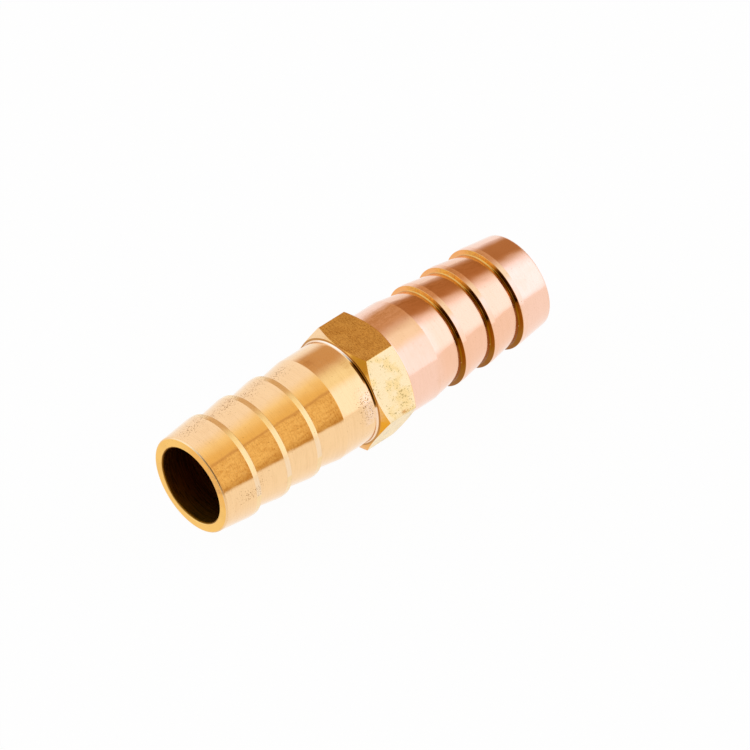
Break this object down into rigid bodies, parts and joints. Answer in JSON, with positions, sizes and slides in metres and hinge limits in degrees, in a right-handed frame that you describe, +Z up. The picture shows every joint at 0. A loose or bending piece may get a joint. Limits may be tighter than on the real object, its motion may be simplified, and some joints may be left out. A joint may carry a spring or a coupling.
{
  "type": "hose connector",
  "caption": "Straight brass hose connector with a barbed tail at each end, a hexagon in the middle and a plain bore right through.",
  "frame": {"origin": "middle of the bore, halfway along the connector and at the centre of its hexagon", "axes": "+X along the bore, +Z up and square to the upper flat of the hexagon, which lies on the flat below"},
  "size_m": [0.055, 0.0172, 0.015],
  "materials": {
    "brass": "bare turned brass, fine turning marks, drawn hexagon flats"
  },
  "bodies": {
    "root": {"connector_body": "brass"}
  },
  "joints": []
}
